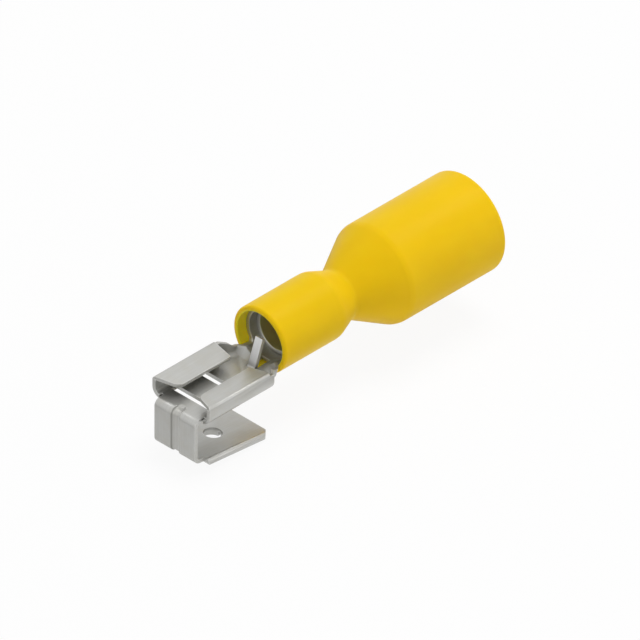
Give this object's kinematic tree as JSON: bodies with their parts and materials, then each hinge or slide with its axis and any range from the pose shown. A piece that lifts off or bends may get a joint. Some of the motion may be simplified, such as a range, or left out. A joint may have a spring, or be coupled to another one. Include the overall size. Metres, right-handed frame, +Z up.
{
  "type": "quick disconnect terminal",
  "caption": "Stacking crimp terminal: rolled female receptacle with a hemmed male tab on a link below, lined barrel and flared insulating sleeve",
  "frame": {"origin": "centre of the receptacle's mouth, on the middle plane of the flat tab that it takes", "axes": "+X from the receptacle to the wire end, +Z up from the receptacle's base to its flaps, +Y across; the terminal's own tab lies below the receptacle"},
  "size_m": [0.0377, 0.0102, 0.0135],
  "materials": {
    "tinned_brass": "satin tin plate over brass sheet",
    "tinned_liner": "satin tin plate over a drawn brass tube",
    "yellow_sleeve": "smooth satin moulding"
  },
  "bodies": {
    "root": {"contact": "tinned_brass", "barrel_liner": "tinned_liner", "insulating_sleeve": "yellow_sleeve"}
  },
  "joints": []
}
